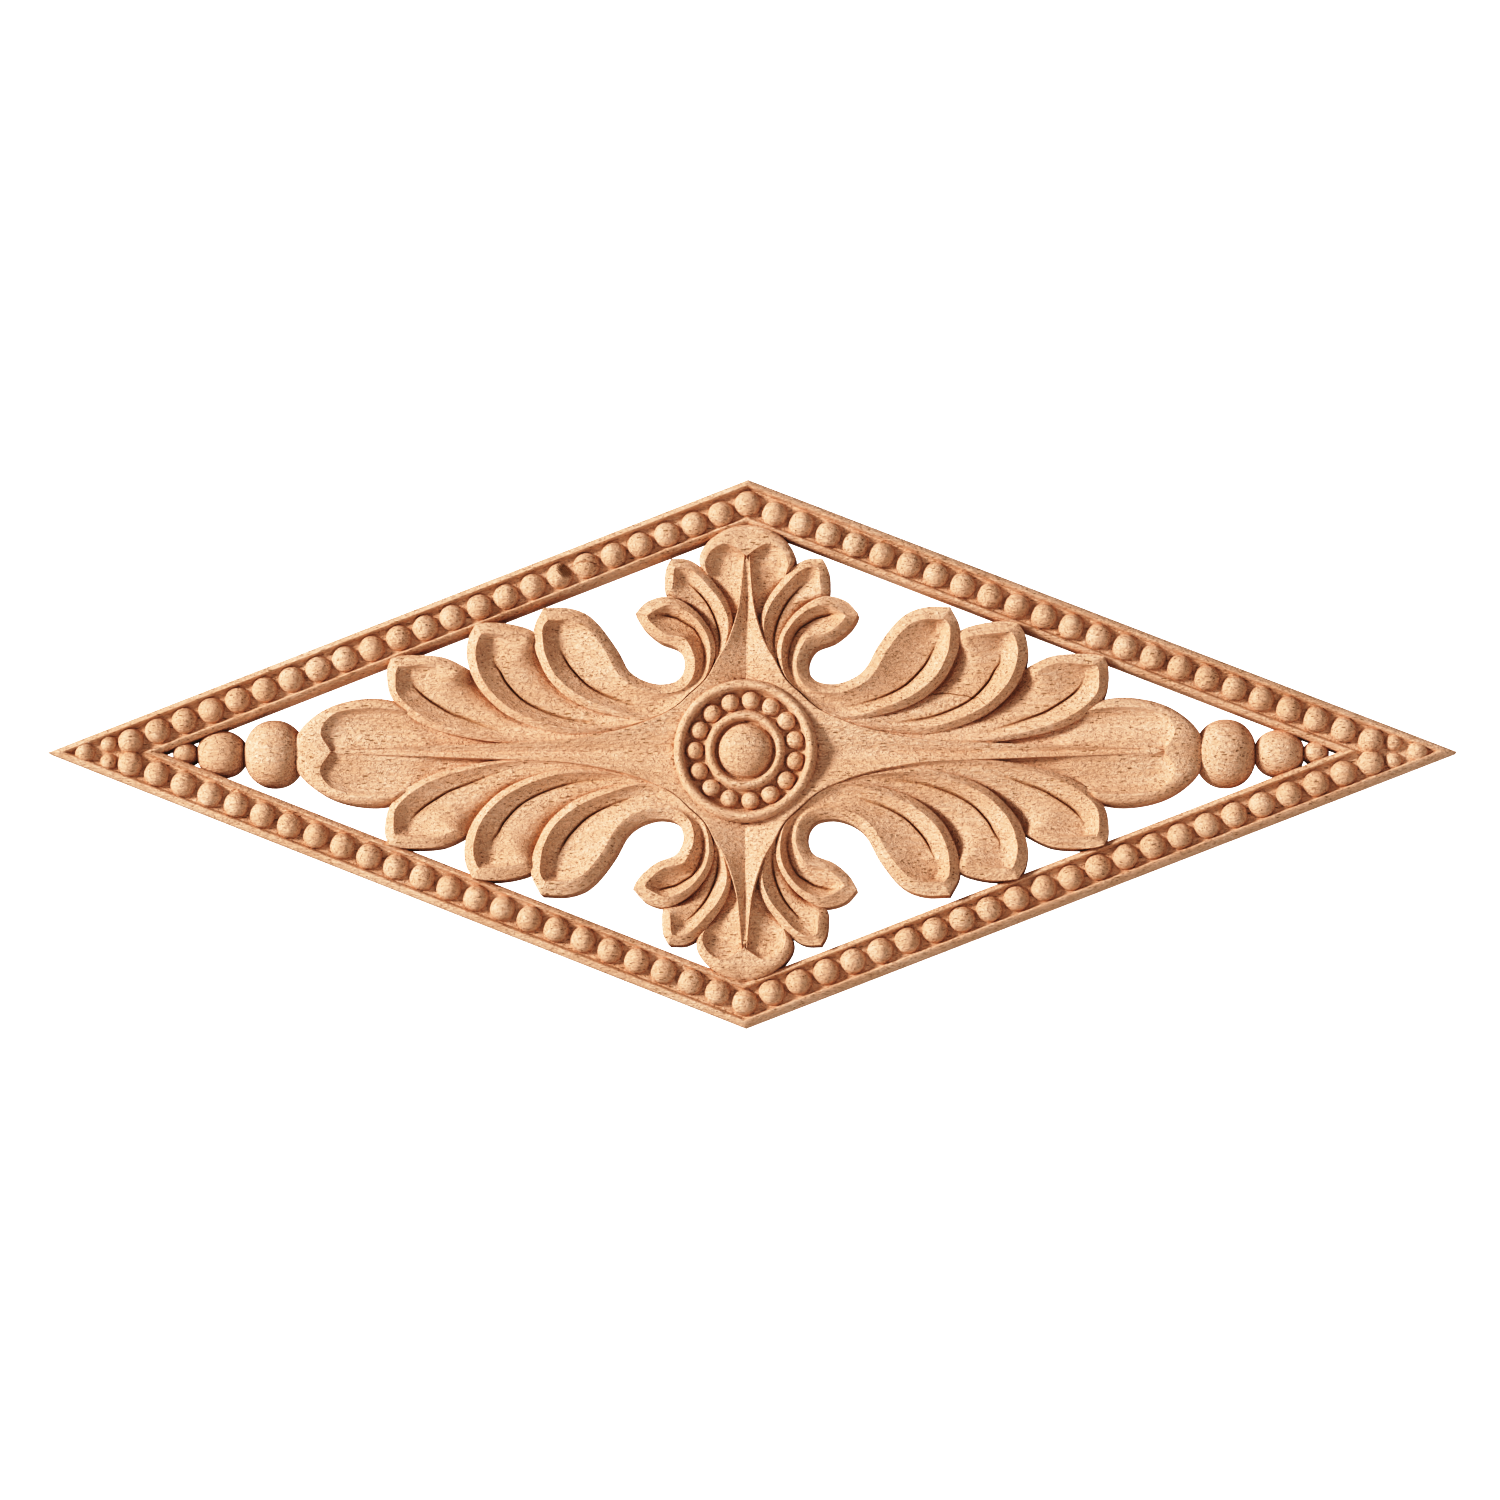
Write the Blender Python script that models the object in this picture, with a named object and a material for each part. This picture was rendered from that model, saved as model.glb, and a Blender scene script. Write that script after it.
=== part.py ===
"""Lozenge wood applique, 400 x 156 x 16 mm, carved from one board and glued or pinned to a flat face.

X runs along the lozenge, Z across it, and the carving faces -Y. The flat back lies in the plane Y = 0 and
the origin is on it, behind the middle of the rosette. Every form is a closed solid that starts a little
behind that plane. They are joined into one body, and the back is then cut flat.
"""

import math

import bmesh
import bpy
import numpy as np

# Lengths here are in millimetres and heights count from the back, until SCALE turns them into metres
SCALE = 0.001
HALF_LENGTH = 200.0
HALF_WIDTH = 78.0
BACK_SPARE = 2.0  # how far the forms start behind the back before it is cut flat

# Beaded frame
FRAME_PROFILE = (  # distance in from the sharp outer edge, height
    (0.0, 7.8),
    (1.6, 9.4),
    (2.1, 7.6),
    (10.0, 7.6),
    (10.5, 9.3),
    (12.0, 7.9),
)
BEAD_RUN = (184.3, 71.0)  # half length and half width of the lozenge that the beads are centred on
BEAD_RADIUS = 3.8
BEAD_SEAT = 7.5  # height of the beads' centres
BEAD_STEP = 7.65  # along X, from bead to bead
BEADS_PER_SIDE = 23
POINT_BEADS = ((182.3, 2.6, 2.5), (189.0, 0.0, 3.0))  # x, z, radius of the little ones in each point

# Rosette: radius and height down its turned profile, from the middle of the dome to the foot of the ring
ROSETTE_PROFILE = (
    (0.0, 16.0),
    (4.0, 15.4),
    (6.8, 13.9),
    (8.2, 12.0),
    (9.2, 13.8),
    (10.7, 13.8),
    (11.6, 11.2),
    (17.0, 11.2),
    (17.7, 14.0),
    (19.3, 14.2),
    (20.3, 12.0),
)
ROSETTE_BEADS = 15
ROSETTE_BEAD_CIRCLE = 14.4
ROSETTE_BEAD_RADIUS = 2.5
ROSETTE_BEAD_SEAT = 11.1

# Leaves
RIM = 3.2  # width of the rounded rim round each scoop
EDGE_ROUND = 1.3  # how far the rim's crest stands above the top of the leaf's wall

# Each leaf is a ribbon between two edges of one quarter. A row is one section from its root to its tip:
# x, z on the edge that shows in full, then x, z on the edge that faces the window or hides under a neighbour
SCROLL = (
    (57.8, 40.8, 57.8, 40.8),
    (60.4, 34.5, 50.0, 40.8),
    (59.4, 27.0, 42.5, 36.7),
    (55.5, 19.8, 37.5, 30.2),
    (48.0, 13.7, 34.0, 23.9),
    (38.5, 10.3, 30.5, 20.9),
    (27.5, 9.6, 25.5, 19.2),
    (20.5, 12.9, 21.7, 19.4),
    (16.0, 16.4, 19.4, 20.5),
    (11.8, 20.8, 17.9, 22.5),
    (8.9, 27.0, 17.6, 25.9),
    (9.8, 33.2, 20.0, 29.5),
    (14.5, 40.0, 25.0, 31.6),
    (22.0, 44.3, 29.2, 35.0),
    (28.2, 42.8, 31.0, 37.6),
    (31.7, 39.3, 31.7, 39.3),
)
OUTER_LEAF = (
    (24.0, 10.6, 25.0, 14.0),
    (36.0, 6.2, 39.0, 15.5),
    (52.0, 5.0, 48.0, 21.0),
    (67.0, 9.9, 55.0, 29.5),
    (76.8, 19.5, 61.0, 34.0),
    (79.7, 28.0, 67.5, 36.3),
    (78.8, 33.0, 73.0, 36.6),
    (77.0, 36.2, 77.0, 36.2),
)
END_SIDE_LEAF = (
    (40.0, 3.6, 41.0, 9.0),
    (66.0, 2.9, 63.0, 15.0),
    (82.0, 4.5, 72.5, 22.0),
    (95.5, 9.8, 81.0, 24.8),
    (101.7, 16.8, 90.0, 27.5),
    (102.4, 22.3, 96.5, 27.4),
    (101.0, 26.6, 101.0, 26.6),
)
TOP_SIDE_LEAF = (
    (8.3, 24.0, 12.0, 24.0),
    (4.5, 32.0, 12.5, 30.5),
    (4.1, 37.0, 14.0, 36.0),
    (6.0, 43.2, 18.0, 41.0),
    (10.4, 49.6, 23.3, 45.0),
    (14.8, 54.2, 23.3, 49.5),
    (18.5, 55.2, 22.8, 53.0),
    (21.2, 55.0, 21.2, 55.0),
)

# A cupped leaf closes each arm of the star. Its knots run from root to tip on its outline and on the edge
# of its scoop, as distance along the arm and distance from the arm's middle
END_CUP_OUTLINE = ((60.0, 8.5), (92.0, 12.9), (107.0, 15.4), (119.5, 12.6), (127.6, 6.0), (129.6, 0.0))
END_CUP_SCOOP = ((60.0, 6.8), (92.0, 10.8), (106.5, 12.3), (117.6, 10.4), (121.0, 5.5), (118.0, 0.0))
TOP_CUP_OUTLINE = ((31.5, 6.4), (46.0, 10.4), (55.0, 13.7), (59.4, 11.7), (62.6, 7.9), (64.9, 3.2), (65.4, 0.0))
TOP_CUP_SCOOP = ((31.5, 5.4), (46.0, 9.0), (53.2, 11.8), (57.4, 9.8), (59.1, 6.0), (57.6, 2.6), (55.6, 0.0))

# The star's arms are V-shaped troughs: distance along the arm, half its width, height of lip, of valley
END_ARM = (
    (13.0, 18.2, 12.8, 10.0),
    (20.5, 11.7, 12.6, 9.8),
    (33.0, 6.5, 12.2, 9.8),
    (48.0, 3.3, 11.6, 10.0),
    (80.0, 1.7, 10.8, 9.8),
    (118.6, 1.1, 10.4, 9.6),
)
TOP_ARM = (
    (13.0, 18.5, 12.8, 10.0),
    (20.5, 11.0, 12.6, 9.8),
    (29.5, 5.6, 12.2, 9.6),
    (39.5, 2.2, 11.6, 9.6),
    (56.2, 1.1, 10.9, 9.8),
)

# Turned beads between the end leaf and the frame's point: x, half length, half width, top
END_CHAIN = ((135.3, 8.7, 9.6, 11.8), (150.4, 7.2, 6.5, 10.4), (160.3, 3.3, 3.2, 8.6))
CHAIN_SEAT = 4.0  # height of their widest section

PALE_WOOD = (0.70, 0.47, 0.29, 1.0)
WOOD_ROUGHNESS = 0.72

QUARTERS = ((1, 1), (-1, 1), (1, -1), (-1, -1))


def smooth_curve(knots, count):
    """Points on a Catmull-Rom curve through the knots, all columns at once, timed by the root of each step."""
    p = np.array(knots, float)
    steps = np.sqrt(np.linalg.norm(np.diff(p, axis=0), axis=1))
    t = np.concatenate([[0.0], np.cumsum(steps)])
    slope = np.gradient(p, t, axis=0)
    s = np.linspace(0.0, t[-1], count)
    k = np.clip(np.searchsorted(t, s, side="right") - 1, 0, len(p) - 2)
    h = (t[k + 1] - t[k])[:, None]
    u = (s - t[k])[:, None] / h
    start = (2 * u**3 - 3 * u**2 + 1) * p[k] + (u**3 - 2 * u**2 + u) * h * slope[k]
    return start + (3 * u**2 - 2 * u**3) * p[k + 1] + (u**3 - u**2) * h * slope[k + 1]


def ease(x, low, high):
    """0 below low and 1 above high, with a smooth S between them."""
    s = np.clip((x - low) / (high - low), 0.0, 1.0)
    return s * s * (3 - 2 * s)


def mix(first, second, share):
    return first + (second - first) * share


def add_solid(body, rings, closed_along=False):
    """Skin a grid of points, one closed ring after another, into a solid in the body's mesh.

    rings[i, j] is x, z, height in millimetres. The first and last rings are capped unless they meet.
    """
    solid = bmesh.new()
    grid = [[solid.verts.new((x * SCALE, -h * SCALE, z * SCALE)) for x, z, h in ring] for ring in rings]
    follow = grid[1:] + grid[:1] if closed_along else grid[1:]
    for here, there in zip(grid, follow):
        for j in range(len(here)):
            solid.faces.new((here[j - 1], here[j], there[j], there[j - 1]))
    if not closed_along:
        solid.faces.new(grid[0])
        solid.faces.new(grid[-1])
    finish_solid(body, solid)


def finish_solid(body, solid):
    """Merge the points that fall together at a tip, turn the faces out and add the solid to the body."""
    bmesh.ops.remove_doubles(solid, verts=solid.verts, dist=0.01 * SCALE)
    bmesh.ops.triangulate(solid, faces=solid.faces)
    bmesh.ops.recalc_face_normals(solid, faces=solid.faces)
    mesh = bpy.data.meshes.new("solid")
    solid.to_mesh(mesh)
    solid.free()
    body.from_mesh(mesh)
    bpy.data.meshes.remove(mesh)


def add_frame(body):
    """A ring of lozenges, each the outer one drawn in by a step of the profile, with mitred corners."""
    inradius = HALF_LENGTH * HALF_WIDTH / math.hypot(HALF_LENGTH, HALF_WIDTH)
    outer, inner = FRAME_PROFILE[0][0], FRAME_PROFILE[-1][0]
    section = ((outer, -BACK_SPARE), *FRAME_PROFILE, (inner, -BACK_SPARE))
    corners = ((1, 0), (0, 1), (-1, 0), (0, -1))
    rings = []
    for x, z in corners:
        shares = [(1 - inset / inradius, height) for inset, height in section]
        rings.append([(x * HALF_LENGTH * s, z * HALF_WIDTH * s, height) for s, height in shares])
    add_solid(body, rings, closed_along=True)


def add_ball(body, x, z, seat, half_length, half_width, half_height, segments, rings=4):
    ball = bmesh.new()
    bmesh.ops.create_uvsphere(ball, u_segments=segments, v_segments=rings, radius=1.0)
    for vert in ball.verts:
        sideways, across, outward = vert.co
        vert.co = (
            (x + sideways * half_length) * SCALE,
            -(seat + outward * half_height) * SCALE,
            (z + across * half_width) * SCALE,
        )
    finish_solid(body, ball)


def add_frame_beads(body):
    """One bead at each blunt corner, an even run down each side, and three little ones in each point."""
    run, rise = BEAD_RUN
    places = [(0.0, side * rise, BEAD_RADIUS) for side in (1, -1)]
    for step in range(1, BEADS_PER_SIDE + 1):
        x = step * BEAD_STEP
        z = rise * (1 - x / run)
        places += [(x * sx, z * sz, BEAD_RADIUS) for sx, sz in QUARTERS]
    (pair_x, pair_z, pair_radius), (tip_x, tip_z, tip_radius) = POINT_BEADS
    places += [(pair_x * sx, pair_z * sz, pair_radius) for sx, sz in QUARTERS]
    places += [(tip_x * sx, tip_z, tip_radius) for sx in (1, -1)]
    for x, z, radius in places:
        add_ball(body, x, z, BEAD_SEAT, radius, radius, radius, segments=6)


def add_leaf(body, knots, stations, crest, depth, quarter, vein=0.5, shown_from=0.0, sunk=0.0):
    """A leaf with a wall, a rounded rim and a scoop that is deepest at its vein.

    crest holds the rim's height at the root and at the tip. Up to shown_from, a share of the length, the
    second edge lies lower by sunk, so that it stays under the leaf in front.
    """
    sign = np.array(quarter)
    rows = smooth_curve(knots, stations)
    near, far = rows[:, :2] * sign, rows[:, 2:] * sign
    width = np.linalg.norm(far - near, axis=1)
    rim = np.minimum(RIM / np.maximum(width, 1e-6), 0.3)
    full = np.minimum(width / (3 * RIM), 1.0)
    u = np.linspace(0.0, 1.0, stations)
    top = crest[0] + (crest[1] - crest[0]) * u
    drop = sunk * (1 - ease(u, shown_from, shown_from + 0.12)) if sunk else 0 * u
    shares = (0 * u, 0.5 * rim, 1.1 * rim, vein + 0 * u, 1 - 1.1 * rim, 1 - 0.5 * rim, 1 + 0 * u)
    lower = (EDGE_ROUND, 0.0, 0.45 * depth, depth, 0.45 * depth, 0.0, EDGE_ROUND)
    rings = []
    for i in range(stations):
        wall = top[i] - EDGE_ROUND
        ring = [(*near[i], -BACK_SPARE)]
        for share, low in zip(shares, lower):
            x, z = near[i] + (far[i] - near[i]) * share[i]
            height = wall + (EDGE_ROUND - low) * full[i] - drop[i] * share[i]
            ring.append((x, z, height))
        ring.append((*far[i], -BACK_SPARE))
        rings.append(ring)
    add_solid(body, rings)


def add_cup(body, outline, scoop, arm, place, crest, depth, stations, shown_from):
    """A cupped leaf: its rim runs round the tip, and its scoop falls from the rim and from the arm's lip.

    place turns a distance along the arm and one from its middle into x, z. Up to shown_from, a share of
    the length, the rim lies lower than the scoop, under the leaves in front.
    """
    outer = smooth_curve(outline, stations)
    inner = smooth_curve(scoop, stations)
    arm = np.array(arm)
    end = scoop[-1][0]
    along = np.linspace(outline[0][0], end, stations)
    lip = np.interp(along, arm[:, 0], arm[:, 1]) * (1 - ease(along, end - 8.0, end))
    lips = np.column_stack([along, lip])
    risen = ease(np.linspace(0.0, 1.0, stations), shown_from, shown_from + 0.15)
    open_share = np.ones(stations)
    open_share[-1] = 0.0  # the scoop closes in a point on its inner edge
    sunk = depth + 1.4
    lines = (
        (outer, mix(sunk, EDGE_ROUND, risen)),
        (outer + 0.5 * (inner - outer), mix(sunk, 0.0, risen)),
        (inner, mix(sunk, 0.6, risen)),
        (inner + 0.25 * (lips - inner), mix(0.6, mix(sunk, 0.8 * depth, risen), open_share)),
        (inner + 0.6 * (lips - inner), mix(0.6, depth, open_share)),
        (lips, mix(0.6, 0.8, open_share)),
    )
    rings = []
    for i in range(stations):
        half = [(line[i, 0], line[i, 1], crest - low[i]) for line, low in lines]
        ring = [(a, b, h) for a, b, h in half] + [(a, -b, h) for a, b, h in reversed(half)]
        ring = [(outer[i, 0], outer[i, 1], -BACK_SPARE), *ring, (outer[i, 0], -outer[i, 1], -BACK_SPARE)]
        rings.append([(*place(a, b), h) for a, b, h in ring])
    add_solid(body, rings)


def add_arm(body, knots, place, stations, land=0.5):
    """A trough with a V-shaped bottom between two lips, each with a narrow land outside its edge."""
    rings = []
    for along, half, lip, valley in smooth_curve(knots, stations):
        section = [(half + land, -BACK_SPARE), (half + land, lip - 0.3), (half, lip)]
        section += [(0.0, valley)] + [(-b, h) for b, h in reversed(section)]
        rings.append([(*place(along, b), h) for b, h in section])
    add_solid(body, rings)


def add_rosette(body):
    """The turned middle, then its ring of beads with one of them at -X."""
    around = 26
    turn = 0.25  # of a step, so that no edge of the ring falls on the creases of the arms
    foot = ROSETTE_PROFILE[-1][0]
    profile = [*ROSETTE_PROFILE[1:], (foot, -BACK_SPARE)]
    turned = bmesh.new()
    apex = turned.verts.new((0, -ROSETTE_PROFILE[0][1] * SCALE, 0))
    rows = []
    for radius, height in profile:
        angles = [2 * math.pi * (k + turn) / around for k in range(around)]
        ring = [(radius * math.cos(a) * SCALE, -height * SCALE, radius * math.sin(a) * SCALE) for a in angles]
        rows.append([turned.verts.new(point) for point in ring])
    for k in range(around):
        turned.faces.new((apex, rows[0][k - 1], rows[0][k]))
        for upper, lower in zip(rows, rows[1:]):
            turned.faces.new((upper[k - 1], upper[k], lower[k], lower[k - 1]))
    turned.faces.new(rows[-1])
    finish_solid(body, turned)
    for k in range(ROSETTE_BEADS):
        angle = math.pi + 2 * math.pi * k / ROSETTE_BEADS
        x, z = ROSETTE_BEAD_CIRCLE * math.cos(angle), ROSETTE_BEAD_CIRCLE * math.sin(angle)
        radius = ROSETTE_BEAD_RADIUS
        add_ball(body, x, z, ROSETTE_BEAD_SEAT, radius, radius, radius, segments=6)


def wood():
    material = bpy.data.materials.new("unfinished_pale_wood")
    material.use_nodes = True
    shader = material.node_tree.nodes["Principled BSDF"]
    shader.inputs["Base Color"].default_value = PALE_WOOD
    shader.inputs["Roughness"].default_value = WOOD_ROUGHNESS
    shader.inputs["Metallic"].default_value = 0.0
    return material


def build():
    for old in list(bpy.data.objects):
        bpy.data.objects.remove(old)
    parts = bpy.data.collections.new("wood_applique")
    cutters = bpy.data.collections.new("cutters")
    bpy.context.scene.collection.children.link(parts)
    bpy.context.scene.collection.children.link(cutters)

    body = bmesh.new()
    add_frame(body)
    add_frame_beads(body)
    for quarter in QUARTERS:
        add_leaf(body, SCROLL, 19, (13.0, 11.6), 3.4, quarter)
        add_leaf(body, OUTER_LEAF, 9, (11.8, 12.2), 3.4, quarter, vein=0.4, shown_from=0.7, sunk=5.0)
        add_leaf(body, END_SIDE_LEAF, 8, (10.8, 11.4), 3.0, quarter, vein=0.4, shown_from=0.55, sunk=4.5)
        add_leaf(body, TOP_SIDE_LEAF, 9, (11.0, 11.2), 2.8, quarter, vein=0.5, shown_from=0.6, sunk=4.0)
    for side in (1, -1):
        def along_x(a, b, side=side):
            return a * side, b

        def along_z(a, b, side=side):
            return b, a * side

        add_cup(body, END_CUP_OUTLINE, END_CUP_SCOOP, END_ARM, along_x, 11.0, 3.2, 10, shown_from=0.35)
        add_cup(body, TOP_CUP_OUTLINE, TOP_CUP_SCOOP, TOP_ARM, along_z, 11.4, 3.4, 9, shown_from=0.3)
        add_arm(body, END_ARM, along_x, 9)
        add_arm(body, TOP_ARM, along_z, 8)
        for x, half_length, half_width, top in END_CHAIN:
            high = top - CHAIN_SEAT
            add_ball(body, x * side, 0.0, CHAIN_SEAT, half_length, half_width, high, segments=10, rings=6)
    add_rosette(body)

    mesh = bpy.data.meshes.new("carved_applique")
    body.to_mesh(mesh)
    body.free()
    mesh.materials.append(wood())
    applique = bpy.data.objects.new("carved_applique", mesh)
    parts.objects.link(applique)

    behind = bmesh.new()
    bmesh.ops.create_cube(behind, size=1.0)
    for vert in behind.verts:
        vert.co.x *= 2.4 * HALF_LENGTH * SCALE
        vert.co.y = (vert.co.y + 0.5) * 20 * SCALE
        vert.co.z *= 2.4 * HALF_WIDTH * SCALE
    behind_mesh = bpy.data.meshes.new("behind_the_back")
    behind.to_mesh(behind_mesh)
    behind.free()
    cutter = bpy.data.objects.new("behind_the_back", behind_mesh)
    cutter.hide_render = True
    cutter.display_type = "WIRE"
    cutters.objects.link(cutter)

    flat_back = applique.modifiers.new("flat_back", "BOOLEAN")
    flat_back.operation = "DIFFERENCE"
    flat_back.solver = "EXACT"
    flat_back.use_self = True
    flat_back.object = cutter


build()
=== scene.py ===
"""Looks of the lozenge wood applique: pale bare wood, carved by machine, left unsanded.

Lengths in the object's sections are millimetres, and those in the studio are metres. x runs along the
lozenge, z across it, and a height h counts from the flat back towards the viewer, so a point lies at
(x, -h, z) / 1000 in the frame's metres.
"""

import math

import bmesh
import bpy
import numpy as np
from mathutils import Matrix


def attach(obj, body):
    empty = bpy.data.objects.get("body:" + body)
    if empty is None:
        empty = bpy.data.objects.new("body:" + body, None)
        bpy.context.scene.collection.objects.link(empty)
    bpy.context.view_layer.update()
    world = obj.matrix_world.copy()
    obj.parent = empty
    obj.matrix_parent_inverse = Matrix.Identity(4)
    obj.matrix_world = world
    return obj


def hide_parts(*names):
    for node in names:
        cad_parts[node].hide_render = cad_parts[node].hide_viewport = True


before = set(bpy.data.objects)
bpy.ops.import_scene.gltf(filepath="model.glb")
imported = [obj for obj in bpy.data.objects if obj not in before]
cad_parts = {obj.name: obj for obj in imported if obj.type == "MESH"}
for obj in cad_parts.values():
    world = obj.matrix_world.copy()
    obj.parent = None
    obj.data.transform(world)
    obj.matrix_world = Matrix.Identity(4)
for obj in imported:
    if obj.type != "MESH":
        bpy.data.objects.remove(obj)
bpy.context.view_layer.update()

# Studio. The photograph was taken almost square on, from a little below and a little to the right, with a
# long lens. The applique hangs free before a white ground. The main light rakes softly from the left, and a
# weak one fills from the right.
CAMERA_PLACE = (0.1071, -1.600, -0.1736)
PITCH, YAW, ROLL = math.radians(6.23), math.radians(-3.81), math.radians(0.37)
FOCAL_PIXELS, FRAME_PIXELS = 5670.4, 1500
SENSOR = 36.0  # millimetres
NEAREST, FARTHEST = 0.05, 50.0


def turned_to(side, top, back, place):
    """A matrix that turns an object's x, y and z along side, top and back, and puts it at place."""
    return Matrix([[side[i], top[i], back[i], place[i]] for i in range(3)] + [[0, 0, 0, 1]])


camera_data = bpy.data.cameras.new("photo_camera")
camera_data.sensor_width = SENSOR
camera_data.lens = FOCAL_PIXELS / FRAME_PIXELS * SENSOR
camera_data.clip_start, camera_data.clip_end = NEAREST, FARTHEST
camera = bpy.data.objects.new("photo_camera", camera_data)
forward = np.array([math.sin(YAW) * math.cos(PITCH), math.cos(YAW) * math.cos(PITCH), math.sin(PITCH)])
level = np.array([math.cos(YAW), -math.sin(YAW), 0.0])
upright = np.cross(level, forward)
right = math.cos(ROLL) * level + math.sin(ROLL) * upright
up = -math.sin(ROLL) * level + math.cos(ROLL) * upright
camera.matrix_world = turned_to(right, up, -forward, CAMERA_PLACE)
bpy.context.scene.collection.objects.link(camera)
bpy.context.scene.camera = camera

# The picture's tones, the same for all colours: its blacks are drawn in and its brightest parts roll off
WHITE_POINT = 1.6
TONE_CURVE = (  # a tone before, and after
    (0.0, 0.0), (0.0625, 0.018), (0.1125, 0.060), (0.18, 0.160), (0.29, 0.365), (0.47, 0.705), (0.68, 0.94),
    (1.0, 1.0),
)
ALL_COLOURS = 3  # the number of the curve that acts on red, green and blue together

view = bpy.context.scene.view_settings
view.view_transform = "Standard"
view.use_curve_mapping = True
tones = view.curve_mapping
tones.white_level = (WHITE_POINT,) * 3
brightness = tones.curves[ALL_COLOURS].points
for x, y in TONE_CURVE[1:-1]:
    brightness.new(x, y)
for point, place in zip(brightness, TONE_CURVE):
    point.location, point.handle_type = place, "AUTO_CLAMPED"
tones.update()

LAMP_WHITE = (1.0, 0.98, 0.955)


def soft_light(name, place, aim, size, watts):
    """A square area light of the given side, turned so that its -Z looks from place to aim."""
    data = bpy.data.lights.new(name, "AREA")
    data.size, data.energy, data.color = size, watts, LAMP_WHITE
    light = bpy.data.objects.new(name, data)
    back = np.array(place, float) - np.array(aim, float)
    back /= np.linalg.norm(back)
    side = np.cross([0.0, 0.0, 1.0], back)
    side /= np.linalg.norm(side)
    light.matrix_world = turned_to(side, np.cross(back, side), back, place)
    bpy.context.scene.collection.objects.link(light)


soft_light("raking_key", place=(-3.90, -2.31, 1.13), aim=(0.0, 0.0, 0.0), size=0.90, watts=308.0)
soft_light("right_fill", place=(1.20, -1.20, 0.10), aim=(0.15, 0.0, 0.0), size=0.50, watts=2.6)

GROUND_COLOUR, GROUND_STRENGTH = (1.0, 1.0, 1.0, 1.0), 3.0  # what the camera sees round the applique
AMBIENT_COLOUR, AMBIENT_STRENGTH = (1.0, 0.985, 0.96, 1.0), 0.46  # what lights it from all sides

world = bpy.data.worlds.new("white_studio")
world.use_nodes = True
nodes, links = world.node_tree.nodes, world.node_tree.links
ground, ambient = nodes["Background"], nodes.new("ShaderNodeBackground")
ground.inputs["Color"].default_value = GROUND_COLOUR
ground.inputs["Strength"].default_value = GROUND_STRENGTH
ambient.inputs["Color"].default_value = AMBIENT_COLOUR
ambient.inputs["Strength"].default_value = AMBIENT_STRENGTH
path, choose = nodes.new("ShaderNodeLightPath"), nodes.new("ShaderNodeMixShader")
links.new(path.outputs["Is Camera Ray"], choose.inputs[0])
links.new(ambient.outputs[0], choose.inputs[1])
links.new(ground.outputs[0], choose.inputs[2])
links.new(choose.outputs[0], nodes["World Output"].inputs["Surface"])
bpy.context.scene.world = world

FLOOR_DROP, FLOOR_HALF = 0.32, 1.6
FLOOR_COLOUR, FLOOR_ROUGHNESS = (0.86, 0.86, 0.85, 1.0), 0.9

floor_mesh = bpy.data.meshes.new("pale_floor")
corners = [(x * FLOOR_HALF, y * FLOOR_HALF, -FLOOR_DROP) for x, y in ((-1, -1), (1, -1), (1, 1), (-1, 1))]
floor_mesh.from_pydata(corners, [], [(0, 1, 2, 3)])
floor = bpy.data.objects.new("pale_floor", floor_mesh)
floor_paint = bpy.data.materials.new("pale_floor_paint")
floor_paint.use_nodes = True
paint = floor_paint.node_tree.nodes["Principled BSDF"]
paint.inputs["Base Color"].default_value = FLOOR_COLOUR
paint.inputs["Roughness"].default_value = FLOOR_ROUGHNESS
floor_mesh.materials.append(floor_paint)
bpy.context.scene.collection.objects.link(floor)

# Frame. Four bars of the one board, with mitred corners: an outer lip with a worn bevel, a sunk channel for
# the beads, and an inner lip. The cutter leaves both lips a little wavy and fuzzy.
HALF_LENGTH, HALF_WIDTH = 200.0, 78.0
FRAME_PROFILE = (  # inset from the sharp outer edge, height
    (0.0, 0.0), (0.0, 3.0), (0.0, 6.0), (0.0, 7.6), (0.25, 8.2), (0.8, 8.8), (1.35, 9.3), (1.65, 9.4),
    (1.95, 9.1), (2.15, 8.2), (2.45, 7.6), (3.2, 7.4), (4.8, 7.35), (6.1, 7.35), (7.6, 7.35), (9.1, 7.4),
    (9.75, 7.6), (10.1, 8.3), (10.35, 9.1), (10.65, 9.3), (11.0, 9.1), (11.5, 8.5), (11.9, 7.9), (12.0, 7.5),
    (12.0, 5.5), (12.0, 2.8), (12.0, 0.0),
)
FRAME_STEP = 0.9  # from section to section along a bar
CHANNEL_CORNERS, CHANNEL_HEIGHTS = (2.5, 9.7), (7.0, 8.3)  # insets and heights of the channel's corners, where shade is painted
CORNER_WIDTH, CORNER_SHADE = 0.5, 0.08
FRAME_SEED = 11

WAVES = ((0.09, 7.0), (0.035, 2.1), (0.04, 0.8))  # height and size of waves, ripples and torn fibres
ALONG_GRAIN = 0.6  # they are drawn out along the grain
CALM_BACK = (3.0, 7.0)  # they fade in between these heights
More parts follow.
